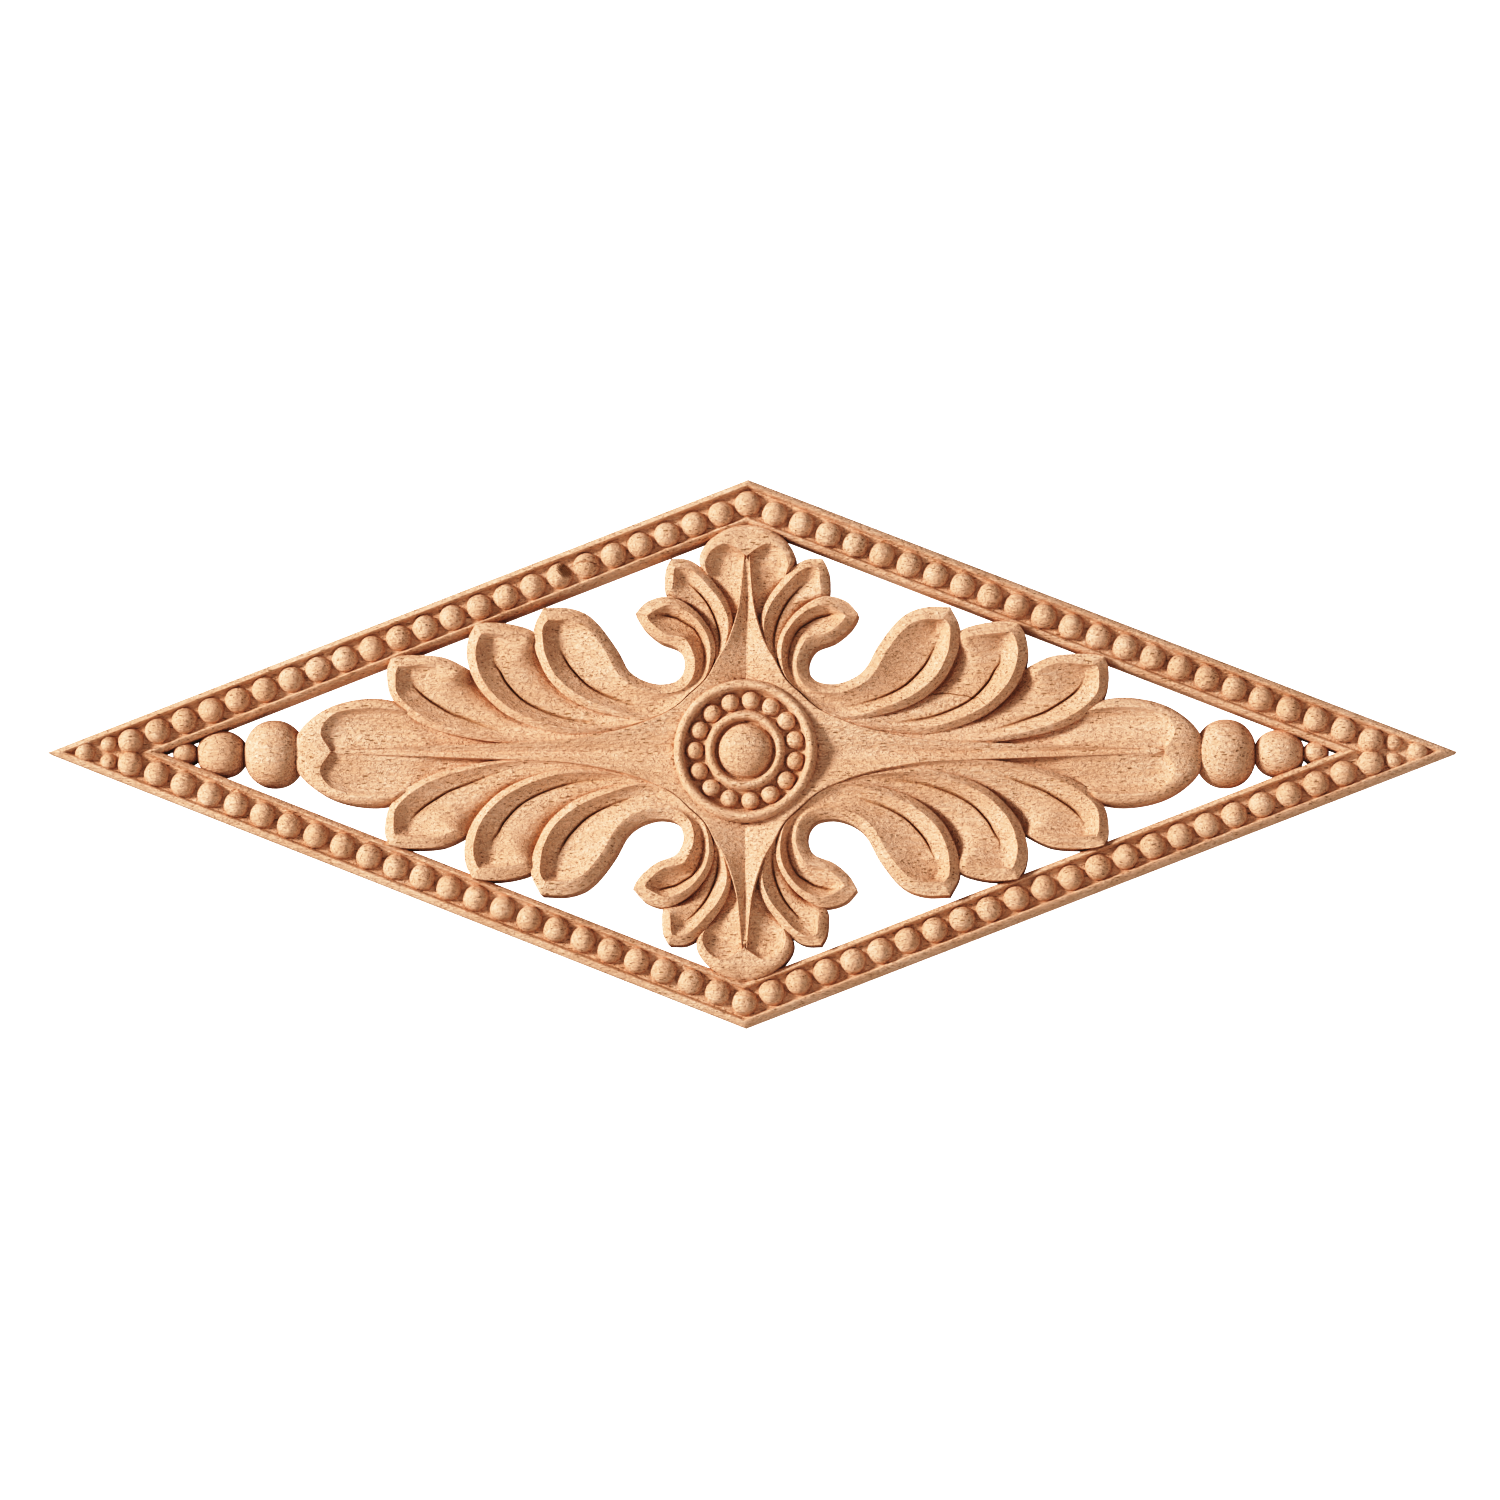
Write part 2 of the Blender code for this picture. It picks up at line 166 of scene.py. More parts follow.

# The wood's two tones, its pale torn specks, its darker fibres, its pits and pores, the painted shade for
# grooves and channels, and a crack's dark line, each of these with the share that it covers at most
WOOD_DARK, WOOD_PALE = (0.770, 0.506, 0.366, 1.0), (0.860, 0.580, 0.432, 1.0)
TORN_SPECK = (0.930, 0.710, 0.570, 1.0)
FIBRE, FIBRE_SHARE = (0.645, 0.392, 0.258, 1.0), 0.62
PIT, PIT_SHARE = (0.470, 0.258, 0.118, 1.0), 0.35
PORE, PORE_SHARE = (0.330, 0.175, 0.072, 1.0), 0.80
# painted shade: the colour laid where shadow falls in grooves, channels, on walls and round feet
PAINTED_SHADE, PAINTED_SHADE_SHARE = (0.360, 0.190, 0.078, 1.0), 0.75
CRACK, CRACK_SHARE = (0.280, 0.130, 0.060, 1.0), 0.80
SPECULAR, ROUGHNESS = 0.25, (0.70, 0.88)  # rougher where it is torn
FIBRE_RELIEF, SPECK_RELIEF, PORE_RELIEF = -0.4, 0.9, 1.3  # shares of the relief's depth
RELIEF_DEPTH, RELIEF_STRENGTH = 0.30, 0.85

# A hairline crack in the middle leaf of the upper right quarter, as x and z along it
CRACK_PATH = (
    (52.5, 16.2), (55.0, 16.6), (58.0, 16.4), (60.0, 16.0), (62.5, 15.8), (64.4, 14.9), (65.6, 15.4),
    (67.0, 13.6), (68.6, 12.4),
)
CRACK_SPAN = 20.0  # the z that the curve of the crack gives as 1
CRACK_SIDES = (0.08, 0.26)  # full up to the first distance from its line, gone at the second


def lattice_noise(points, cell, seed):
    """Smooth noise from -1 to 1: random values on a cubic lattice, blended between its eight corners.

    A corner's value is a hash of its three whole numbers and the seed. Places are shifted so far that those
    numbers are never negative.
    """
    place = np.asarray(points, float) / cell + 911.0
    low = np.floor(place).astype(np.int64)
    part = place - low
    part = part * part * (3 - 2 * part)
    total = np.zeros(place.shape[:-1])
    for corner in range(8):
        step = np.array([corner & 1, corner >> 1 & 1, corner >> 2 & 1])
        key = (low + step) @ np.array([374761393, 668265263, 960965203]) + seed * 1274126177
        key = key & 0xFFFFFFFF
        key = (key ^ key >> 13) * 1103515245 & 0xFFFFFFFF
        key = (key ^ key >> 16) & 0xFFFFFF
        total += np.prod(np.where(step == 1, part, 1 - part), axis=-1) * (key / 0x7FFFFF - 1)
    return total


def ease(x, low, high):
    """0 below low, 1 above high, and a smooth S between them."""
    s = np.clip((np.asarray(x, float) - low) / (high - low), 0.0, 1.0)
    return s * s * (3 - 2 * s)


def roughen(x, z, h, amount, seed):
    """Heights with the cutter's waviness and torn fibres: noise of three sizes, none near the back."""
    points = np.stack([x * ALONG_GRAIN, h, z], axis=-1)
    lift = 0.0
    for k, (height, size) in enumerate(WAVES):
        lift = lift + height * lattice_noise(points, size, seed + k)
    return h + amount * lift * ease(h, *CALM_BACK)


def skin(name, grids, painted_shades, sharp=38.0, around=True, along=False):
    """One mesh from grids of x, z, h, in millimetres, with an attribute, hollow, for the painted shade at
    each point.

    Rows follow each other along a grid, and the last one joins the first if along is true. If it is false,
    a face fills each end. Columns run round each row, and the last one joins the first if around is true.
    Points that meet are merged, and the faces are turned out. Edges over the angle sharp stay sharp.
    """
    places, faces, shades, first = [], [], [], 0
    for grid, hollow in zip(grids, painted_shades):
        rows, columns = grid.shape[:2]
        number = first + np.arange(rows * columns).reshape(rows, columns)
        i = np.arange(rows if along else rows - 1)[:, None]
        j = np.arange(columns if around else columns - 1)[None, :]
        here, there = i + 0 * j, (i + 1) % rows + 0 * j
        beside, across = j + 0 * i, (j + 1) % columns + 0 * i
        quads = [number[here, beside], number[here, across], number[there, across], number[there, beside]]
        quads = np.stack(quads, axis=-1).reshape(-1, 4)
        points = np.stack([grid[..., 0], -grid[..., 2], grid[..., 1]], axis=-1).reshape(-1, 3)
        corner = points[quads - first]
        diagonals = np.cross(corner[:, 2] - corner[:, 0], corner[:, 3] - corner[:, 1])
        turned_in = np.einsum("ij,ij->", corner.mean(axis=1) - points.mean(axis=0), diagonals) < 0
        polygons = quads.tolist()
        if not along:
            polygons += [number[0, ::-1].tolist(), number[-1].tolist()]
        faces += [polygon[::-1] for polygon in polygons] if turned_in else polygons
        places.append(points / 1000)
        shades.append(np.broadcast_to(hollow, (rows, columns)).reshape(-1))
        first += rows * columns
    mesh = bpy.data.meshes.new(name)
    mesh.from_pydata(np.concatenate(places), [], faces)
    # the attribute hollow carries painted shade into the material
    attribute = mesh.attributes.new("hollow", "FLOAT", "POINT")
    attribute.data.foreach_set("value", np.concatenate(shades).astype(np.float32))
    close_seams(mesh)
    mesh.set_sharp_from_angle(angle=math.radians(sharp))
    mesh.materials.append(bare_wood)
    piece = bpy.data.objects.new(name, mesh)
    bpy.context.scene.collection.objects.link(piece)
    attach(piece, "root")
    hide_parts("carved_applique")


def close_seams(mesh, meet=2e-6, collapsed=1e-7):
    """Merge the points that fall together at seams, tips and poles, and drop what collapses there."""
    work = bmesh.new()
    work.from_mesh(mesh)
    bmesh.ops.remove_doubles(work, verts=work.verts, dist=meet)
    bmesh.ops.dissolve_degenerate(work, edges=work.edges, dist=collapsed)
    for face in work.faces:
        face.smooth = True
    work.to_mesh(mesh)
    work.free()


def wood_material(name):
    """Pale diffuse-porous wood as a solid block: its figure, fibres and pores all run along x.

    Pores are stretched ellipsoids, so they show as short dashes on faces along the grain and as dots on end
    grain. The attribute hollow is painted shade: it deepens the colour where shadow falls in grooves,
    channels, on walls and round feet.
    """
    material = bpy.data.materials.new(name)
    material.use_nodes = True
    nodes, links = material.node_tree.nodes, material.node_tree.links
    shader = nodes["Principled BSDF"]
    shader.inputs["Specular IOR Level"].default_value = SPECULAR
    place = nodes.new("ShaderNodeTexCoord")

    def node(kind, **settings):
        made = nodes.new(kind)
        for key, value in settings.items():
            if key in made.bl_rna.properties:
                setattr(made, key, value)
            else:
                made.inputs[key.replace("_", " ")].default_value = value
        return made

    def stretched(along, across):
        """Object coordinates with so many cells a metre along the grain and across it."""
        mapping = node("ShaderNodeMapping", vector_type="POINT", Scale=(along, across, across))
        links.new(place.outputs["Object"], mapping.inputs["Vector"])
        return mapping.outputs["Vector"]

    def noise(along, across, detail, roughness=0.55):
        made = node("ShaderNodeTexNoise", Scale=1.0, Detail=detail, Roughness=roughness)
        links.new(stretched(along, across), made.inputs["Vector"])
        return made.outputs["Fac"]

    def spread(value, low, high, to_low=0.0, to_high=1.0):
        """A smooth S from to_low, where the value is low, to to_high, where it is high."""
        made = node("ShaderNodeMapRange", interpolation_type="SMOOTHSTEP")
        for key, number in zip(("From Min", "From Max", "To Min", "To Max"), (low, high, to_low, to_high)):
            made.inputs[key].default_value = number
        links.new(value, made.inputs["Value"])
        return made.outputs["Result"]

    def sums(operation, first, second):
        made = node("ShaderNodeMath", operation=operation)
        for socket, value in zip(made.inputs, (first, second)):
            if isinstance(value, (int, float)):
                socket.default_value = value
            else:
                links.new(value, socket)
        return made.outputs[0]

    def blend(share, first, second):
        made = node("ShaderNodeMix", data_type="RGBA")
        links.new(share, made.inputs["Factor"])
        for socket, value in zip((made.inputs[6], made.inputs[7]), (first, second)):
            if isinstance(value, tuple):
                socket.default_value = value
            else:
                links.new(value, socket)
        return made.outputs[2]

    def tint(under, share, strength, tone):
        """The tone laid over the colour under it, by share times strength."""
        return blend(sums("MULTIPLY", share, strength), under, tone)

    # After each pattern's cells come the values between which it shows, and the shares that it goes between
    figure = spread(noise(7.0, 75.0, detail=3.0), 0.36, 0.66)
    fibres = spread(noise(38.0, 1300.0, detail=3.0, roughness=0.6), 0.32, 0.68)
    speckle = spread(noise(620.0, 1500.0, detail=3.0, roughness=0.7), 0.36, 0.66)
    pits = spread(noise(1100.0, 1700.0, detail=1.0), 0.30, 0.40, 1.0, 0.0)
    crowd = spread(noise(40.0, 160.0, detail=2.0), 0.38, 0.60, 0.25, 1.0)
    torn = spread(noise(35.0, 120.0, detail=2.0), 0.40, 0.66, 0.10, 0.50)
    cells = node("ShaderNodeTexVoronoi", voronoi_dimensions="3D", feature="F1", Scale=1.0, Randomness=1.0)
    links.new(stretched(240.0, 1300.0), cells.inputs["Vector"])
    pores = sums("MULTIPLY", spread(cells.outputs["Distance"], 0.13, 0.22, 1.0, 0.0), crowd)
    # painted shade, read from the attribute hollow
    hollow = node("ShaderNodeAttribute", attribute_name="hollow").outputs["Fac"]

    colour = blend(figure, WOOD_DARK, WOOD_PALE)
    colour = tint(colour, fibres, FIBRE_SHARE, FIBRE)
    colour = tint(colour, speckle, torn, TORN_SPECK)
    colour = tint(colour, sums("MULTIPLY", pits, torn), PIT_SHARE, PIT)
    colour = tint(colour, pores, PORE_SHARE, PORE)
    colour = tint(colour, hollow, PAINTED_SHADE_SHARE, PAINTED_SHADE)
    links.new(spread(speckle, 0.0, 1.0, *ROUGHNESS), shader.inputs["Roughness"])

    axes = nodes.new("ShaderNodeSeparateXYZ")
    links.new(place.outputs["Object"], axes.inputs["Vector"])
    (first_x, _), (last_x, _) = CRACK_PATH[0], CRACK_PATH[-1]
    run = sums("DIVIDE", sums("SUBTRACT", axes.outputs["X"], first_x / 1000), (last_x - first_x) / 1000)
    course = node("ShaderNodeFloatCurve")
    line = course.mapping.curves[0].points
    for x, z in CRACK_PATH[1:-1]:
        line.new((x - first_x) / (last_x - first_x), z / CRACK_SPAN)
    for point, (x, z) in zip(line, CRACK_PATH):
        point.location = ((x - first_x) / (last_x - first_x), z / CRACK_SPAN)
        point.handle_type = "VECTOR"
    course.mapping.update()
    links.new(run, course.inputs["Value"])
    aside = sums("SUBTRACT", axes.outputs["Z"], sums("MULTIPLY", course.outputs["Value"], CRACK_SPAN / 1000))
    full, gone = (side / 1000 for side in CRACK_SIDES)
    split = spread(sums("ABSOLUTE", aside, 0.0), full, gone, 1.0, 0.0)
    ends = sums("MULTIPLY", spread(run, 0.0, 0.06), spread(run, 0.90, 1.0, 1.0, 0.0))
    colour = tint(colour, sums("MULTIPLY", split, ends), CRACK_SHARE, CRACK)
    links.new(colour, shader.inputs["Base Color"])

    relief = sums("ADD", sums("MULTIPLY", fibres, FIBRE_RELIEF), sums("MULTIPLY", speckle, SPECK_RELIEF))
    relief = sums("SUBTRACT", relief, sums("MULTIPLY", sums("ADD", pores, pits), PORE_RELIEF))
    bump = node("ShaderNodeBump", Strength=RELIEF_STRENGTH, Distance=RELIEF_DEPTH / 1000)
    links.new(relief, bump.inputs["Height"])
    links.new(bump.outputs["Normal"], shader.inputs["Normal"])
    return material


bare_wood = wood_material("bare_carved_wood")

frame_inradius = HALF_LENGTH * HALF_WIDTH / math.hypot(HALF_LENGTH, HALF_WIDTH)
profile = np.array(FRAME_PROFILE)
side_steps = round(math.hypot(HALF_LENGTH, HALF_WIDTH) / FRAME_STEP)
corner_x, corner_z = np.array([1, 0, -1, 0, 1.0]), np.array([0, 1, 0, -1, 0.0])
walk = np.arange(4 * side_steps) / side_steps
unit_x = np.interp(walk, np.arange(5), corner_x) * HALF_LENGTH
unit_z = np.interp(walk, np.arange(5), corner_z) * HALF_WIDTH
shares = 1 - profile[:, 0] / frame_inradius
frame_x, frame_z = unit_x[:, None] * shares, unit_z[:, None] * shares
frame_h = np.broadcast_to(profile[:, 1], frame_x.shape)
frame_h = roughen(frame_x, frame_z, frame_h, amount=1.0, seed=FRAME_SEED)
# painted shade in the channel's corners, beside the lips
channel_shade = sum(np.exp(-((profile[:, 0] - inset) / CORNER_WIDTH) ** 2) for inset in CHANNEL_CORNERS)
channel_shade = CORNER_SHADE * channel_shade * (profile[:, 1] < CHANNEL_HEIGHTS[1])
channel_shade = channel_shade * (profile[:, 1] > CHANNEL_HEIGHTS[0])
skin("beaded_frame", [np.stack([frame_x, frame_z, frame_h], axis=-1)], [channel_shade[None, :]], along=True)

# Frame beads. A hundred domes cut in the channel, 23 to a side, one in each blunt corner and three small ones
# in each point. They are nearly half balls, a little uneven. On the upper left bar one has its side torn off,
# and the next towards the middle is split.
BEAD_LINE = (184.3, 71.0)  # half the length and half the width of the lozenge through the beads
BEAD_STEP, BEADS_PER_SIDE = 7.65, 23  # the step is taken along x
BEAD_RADIUS, BEAD_RISE, BEAD_FOOT = 3.8, 1.06, 7.0  # the rise is the height as a share of the radius
POINT_PAIR, POINT_END = (182.3, 2.6, 2.5), (189.0, 0.0, 3.0)  # x, z, radius
BEAD_ROOT = 2.0  # how far a bead goes down into the wood
SWELLS = ((0.035, 3.2), (0.015, 1.1))  # share and size of its unevenness
TORN_BEAD, SPLIT_BEAD = 7, 6  # counted from the blunt corner
BREAK_SIDE, BREAK_LAYER = (0.75, 0.66), 0.55  # the way the torn bead lost its side, and its steps
SPLIT_DEPTH, SPLIT_HALF = 0.7, 0.09  # in millimetres, and as a share of the radius
SCAR_SHADE, SCAR_DEPTHS = 0.8, (0.25, 1.0)  # a scar's shade, and the depths between which it deepens
BEAD_SEAT = (0.06, BEAD_FOOT + 0.2, BEAD_FOOT + 1.6)  # the painted shade round the foot, up to which height, gone by
FRAME_BEAD_SEED = 100


def dome(x, z, radius, height, foot, seed, around=26, up=9):
    """A dome's grid: a quarter ellipse in side view turned round its axis, then swollen by noise.

    Its first row is the foot of a short wall inside the wood, and its last one is a single point.
    """
    turn = np.linspace(0, 2 * np.pi, around, endpoint=False)
    climb = np.linspace(0, np.pi / 2, up)
    out, rise = np.cos(climb), np.sin(climb)
    out[-1] = 0.0
    away_x, away_z = radius * np.outer(out, np.cos(turn)), radius * np.outer(out, np.sin(turn))
    over = np.outer(rise, 0 * turn + height)
    point = np.stack([x + away_x, z + away_z, over], axis=-1)
    swell = 1.0
    for k, (share, size) in enumerate(SWELLS):
        swell = swell + share * lattice_noise(point, size, seed + k)
    grid = np.stack([x + away_x * swell, z + away_z * swell, foot + over * swell], axis=-1)
    grid[-1] = grid[-1].mean(axis=0)
    base = grid[:1].copy()
    base[..., 2] = foot - BEAD_ROOT
    return np.concatenate([base, grid])


def seat_shade(grid, most, low, high):
    """The painted shade at a bead's points, round its foot: most up to the height low, nothing from high on.
    """
    return most * (1 - ease(grid[..., 2], low, high))


def on_the_bar(step):
    """Where the bead of that number from the blunt corner lies on the upper right bar."""
    return step * BEAD_STEP, BEAD_LINE[1] * (1 - step * BEAD_STEP / BEAD_LINE[0])


bead_places = [(0.0, side * BEAD_LINE[1], BEAD_RADIUS) for side in (1, -1)]
for step in range(1, BEADS_PER_SIDE + 1):
    bead_x, bead_z = on_the_bar(step)
    bead_places += [(bead_x * sx, bead_z * sz, BEAD_RADIUS) for sx in (1, -1) for sz in (1, -1)]
pair_x, pair_z, pair_radius = POINT_PAIR
bead_places += [(pair_x * sx, pair_z * sz, pair_radius) for sx in (1, -1) for sz in (1, -1)]
end_x, end_z, end_radius = POINT_END
bead_places += [(end_x * sx, end_z, end_radius) for sx in (1, -1)]


def frame_bead(k, **fineness):
    """The dome in place number k, with a seed of its own."""
    x, z, radius = bead_places[k]
    return dome(x, z, radius, radius * BEAD_RISE, BEAD_FOOT, FRAME_BEAD_SEED + 3 * k, **fineness)


def torn_bead(grid, x, z, radius):
    """The bead's upper right side broken off: what is left falls away evenly, in layers of the grain."""
    toward = ((grid[..., 0] - x) * BREAK_SIDE[0] + (grid[..., 1] - z) * BREAK_SIDE[1]) / radius
    left = BEAD_FOOT + radius * (1.05 - 1.1 * np.clip(toward - 0.05, 0, 1))
    layers = np.round(left / BREAK_LAYER) * BREAK_LAYER + 0.12 * lattice_noise(grid, 0.9, 77)
    broken = grid.copy()
    broken[..., 2] = np.where(toward > 0.1, np.minimum(grid[..., 2], layers), grid[..., 2])
    return broken


def split_bead(grid, x, z, radius):
    """A crack along the grain, bent like a shallow parabola in plan and like a V in section."""
    across = (grid[..., 1] - z) / radius - 0.25 + 0.35 * ((grid[..., 0] - x) / radius) ** 2
    cracked = grid.copy()
    cracked[..., 2] -= SPLIT_DEPTH * np.clip(1 - np.abs(across) / SPLIT_HALF, 0, 1)
    return cracked


beads = [frame_bead(k) for k in range(len(bead_places))]
bead_shades = [seat_shade(grid, *BEAD_SEAT) for grid in beads]
for step, worn in ((TORN_BEAD, torn_bead), (SPLIT_BEAD, split_bead)):
    bead_x, bead_z = on_the_bar(step)
    k = bead_places.index((-bead_x, bead_z, BEAD_RADIUS))
    whole = frame_bead(k, around=90, up=40)
    beads[k] = worn(whole, *bead_places[k])
    scar = SCAR_SHADE * ease(whole[..., 2] - beads[k][..., 2], *SCAR_DEPTHS)
    bead_shades[k] = np.maximum(seat_shade(beads[k], *BEAD_SEAT), scar)
skin("frame_beads", beads, bead_shades, sharp=60.0)

# Star. Four troughs with V-shaped bottoms, whose lips run out from the rosette as thin ridges. The two short
# arms and the two long ones share one ridge round each diagonal.
STAR_LIP = (  # x, z, height of the ridge, from the tip of a long arm round to the tip of a short one
    (118.3, 0.35, 10.3), (100.0, 1.1, 10.6), (80.0, 1.8, 10.9), (62.0, 2.5, 11.2), (48.0, 3.4, 11.6),
    (33.0, 6.5, 12.2), (27.0, 8.6, 12.4), (20.3, 11.8, 12.6), (15.4, 16.0, 12.8), (11.0, 20.3, 12.6),
    (7.9, 26.0, 12.4), (5.3, 30.5, 12.2), (2.4, 39.5, 11.7), (1.3, 48.0, 11.3), (0.7, 56.0, 10.8),
)
LONG_ARM = 118.6
STAR_VALLEY_DEPTH = (  # way in along a long arm and out along a short one, depth below the ridge
    (0.0, 0.9), (40.0, 1.2), (75.0, 2.1), (110.0, 2.7), (150.0, 2.4), (174.0, 1.0),
)
STAR_FORK = (22.0, 27.0)  # radii between which the valley's line leaves the middle
STAR_HUB, HUB_SINK = (18.4, 20.0), 4.5  # under the rosette's ring the star sinks, between these radii
STAR_EDGE = ((0.12, 0.05), (0.3, 0.5), (0.55, 2.0), (0.55, 9.0))  # out from the ridge, down from it
SLIM_ARM = (1.2, 4.0)  # half widths of an arm between which its ridges grow from half to full thickness
STAR_BACK = 0.16  # the backs of unlike pieces lie at unlike heights, so that no two coincide
STAR_SEED = 31
QUARTERS = ((1, 1), (-1, 1), (-1, -1), (1, -1))  # the signs of x and z


def smooth_curve(knots, count, by=None, fine_steps=3000):
    """Points on a smooth curve through the knots, spaced evenly in the columns that by lists, or in all.

    Between two knots it is a cubic whose slopes at them come from their neighbours. The time from knot to
    knot is the root of their distance.
    """
    p = np.array(knots, float)
    t = np.concatenate([[0.0], np.cumsum(np.sqrt(np.linalg.norm(np.diff(p, axis=0), axis=1)))])
    slope = np.gradient(p, t, axis=0)

    def at(s):
        k = np.clip(np.searchsorted(t, s, side="right") - 1, 0, len(p) - 2)
        h = (t[k + 1] - t[k])[:, None]
        u = (s - t[k])[:, None] / h
        start = (2 * u**3 - 3 * u**2 + 1) * p[k] + (u**3 - 2 * u**2 + u) * h * slope[k]
        return start + (3 * u**2 - 2 * u**3) * p[k + 1] + (u**3 - u**2) * h * slope[k + 1]

    times = np.linspace(0, t[-1], fine_steps)
    fine = at(times)
    pace = np.linalg.norm(np.diff(fine if by is None else fine[:, by], axis=0), axis=1) + 1e-4
    length = np.concatenate([[0.0], np.cumsum(pace)])
    return at(np.interp(np.linspace(0, length[-1], count), length, times))


lip = smooth_curve(STAR_LIP, 420, by=[0, 1])
on_long_arm = np.arctan2(lip[:, 1], lip[:, 0]) < np.pi / 4
fork = ease(np.hypot(lip[:, 0], lip[:, 1]), *STAR_FORK)
spine_x = np.where(on_long_arm, lip[:, 0] * fork, 0.0)
spine_z = np.where(on_long_arm, 0.0, lip[:, 1] * fork)
depth = np.interp(np.where(on_long_arm, LONG_ARM - lip[:, 0], LONG_ARM + lip[:, 1]), *zip(*STAR_VALLEY_DEPTH))
outward = np.stack([np.gradient(lip[:, 1]), -np.gradient(lip[:, 0])], axis=-1)
outward /= np.linalg.norm(outward, axis=1)[:, None]
outward *= np.sign(outward.sum(axis=1))[:, None]
across = np.linspace(0, 1, 30)
slope_x = spine_x[:, None] + (lip[:, 0] - spine_x)[:, None] * across
slope_z = spine_z[:, None] + (lip[:, 1] - spine_z)[:, None] * across
slope_h = (lip[:, 2] - depth)[:, None] + depth[:, None] * across
slope_h -= HUB_SINK * (1 - ease(np.hypot(slope_x, slope_z), *STAR_HUB))
slimmer = 0.5 + 0.5 * ease(lip[:, :2].min(axis=1), *SLIM_ARM)
edge_x = np.stack([lip[:, 0] + outward[:, 0] * slimmer * out for out, _ in STAR_EDGE], axis=-1)
edge_z = np.stack([lip[:, 1] + outward[:, 1] * slimmer * out for out, _ in STAR_EDGE], axis=-1)
edge_h = np.stack([lip[:, 2] - down for _, down in STAR_EDGE], axis=-1)
quarter_x = np.concatenate([slope_x, edge_x, edge_x[:, -1:], spine_x[:, None]], axis=1)
quarter_z = np.concatenate([slope_z, edge_z, edge_z[:, -1:], spine_z[:, None]], axis=1)
quarter_h = np.concatenate([slope_h, edge_h, np.full((len(lip), 2), STAR_BACK)], axis=1)
star_grids = []
for sx, sz in QUARTERS:
    rough = roughen(quarter_x * sx, quarter_z * sz, quarter_h, amount=0.7, seed=STAR_SEED)
    star_grids.append(np.stack([quarter_x * sx, quarter_z * sz, rough], axis=-1))
# The quarters meet in the troughs' bottoms, where no wall stands between them
skin("star_arms", star_grids, [0.0] * 4, sharp=30.0, around=False)

# Leaves. Each quarter has four, carved as ribbons with a rim bevelled both ways, a dish between the bevels
# and a V groove along the vein. Those next to the long arm lie one under the other like tiles.
NEAR_SLOPE, FAR_SLOPE = 0.95, 0.66  # how much a bevel falls in each millimetre of its width
GROOVE_HALF = 0.42  # half the width of the groove
GROOVE_FULL = 0.8  # the depth from which a groove gives its section the full V and the full shade
# painted shade in the groove, how far from the vein it fades, and painted shade on the walls
GROOVE_SHADE, SHADE_HALF, WALL_SHADE = 0.85, 0.9, 0.15
WIDE_DISH, WIDE_GROOVE = 6.0, 3.0  # the inner widths from which a dish and a groove have their full depth
HIDDEN_DROP = 3.2  # how far a section goes on falling under the leaf in front
GUIDE_STEPS = (5, 9, 2, 2, 13, 6)  # columns on each bevel, on each side of the dish and on the groove
WALL_SHARES = (0.97, 0.75, 0.4, 0.0)  # heights of the points down a wall, as shares of its own

# One section a row, from tip or root to tip: x, z of the near edge, the vein and the far edge, then the
# height of the rim, the widths of the near and the far bevel, the dish's depth, the groove's depth, and 1
# where the far edge shows or 0 where it lies under the leaf in front
SCROLL_LEAF = (
    (57.8, 40.8, 57.8, 40.8, 57.8, 40.8, 12.6, 0.9, 1.1, 2.9, 0.0, 1.0),
    (60.4, 35.5, 54.2, 36.2, 51.0, 40.9, 12.6, 2.0, 2.5, 3.0, 0.0, 1.0),
    (60.4, 31.0, 54.3, 31.6, 46.0, 39.4, 12.6, 2.29, 3.1, 3.1, 0.0, 1.0),
    (59.4, 27.0, 53.3, 28.0, 42.5, 36.7, 12.5, 2.29, 3.1, 3.1, 0.4, 1.0),
    (55.5, 19.8, 50.2, 23.3, 37.5, 30.2, 12.4, 2.2, 3.1, 3.1, 1.1, 1.0),
    (48.0, 13.7, 44.0, 18.2, 34.0, 23.9, 12.3, 1.94, 3.01, 2.8, 1.0, 1.0),
    (38.5, 10.3, 36.8, 14.8, 30.5, 20.9, 12.2, 1.41, 3.01, 2.2, 0.5, 1.0),
    (27.5, 8.9, 28.0, 12.6, 25.5, 19.2, 12.1, 0.53, 2.91, 1.6, 0.0, 1.0),
    (20.5, 12.2, 21.5, 14.6, 21.7, 19.4, 12.2, 0.05, 3.01, 1.6, 0.0, 1.0),
    (15.8, 16.4, 16.5, 17.1, 19.4, 20.4, 12.3, 0.05, 3.2, 2.0, 0.0, 1.0),
    (11.4, 20.6, 13.2, 20.9, 17.9, 22.5, 12.3, 0.2, 3.2, 2.8, 0.1, 1.0),
    (8.9, 26.6, 11.9, 26.4, 17.6, 25.7, 12.3, 1.14, 3.1, 3.6, 0.4, 1.0),
    (9.6, 33.0, 13.2, 32.4, 19.6, 29.3, 12.2, 1.41, 3.01, 3.6, 0.5, 1.0),
    (14.5, 40.0, 17.0, 36.9, 25.0, 31.6, 12.0, 1.58, 2.73, 3.2, 0.8, 1.0),
    (22.0, 44.2, 22.8, 38.8, 29.2, 35.0, 11.8, 2.02, 2.54, 2.9, 0.7, 1.0),
    (28.2, 42.8, 27.0, 39.8, 31.0, 37.6, 11.7, 1.7, 1.8, 2.3, 0.0, 1.0),
    (31.6, 39.3, 31.6, 39.3, 31.6, 39.3, 11.7, 0.9, 1.0, 1.8, 0.0, 1.0),
)
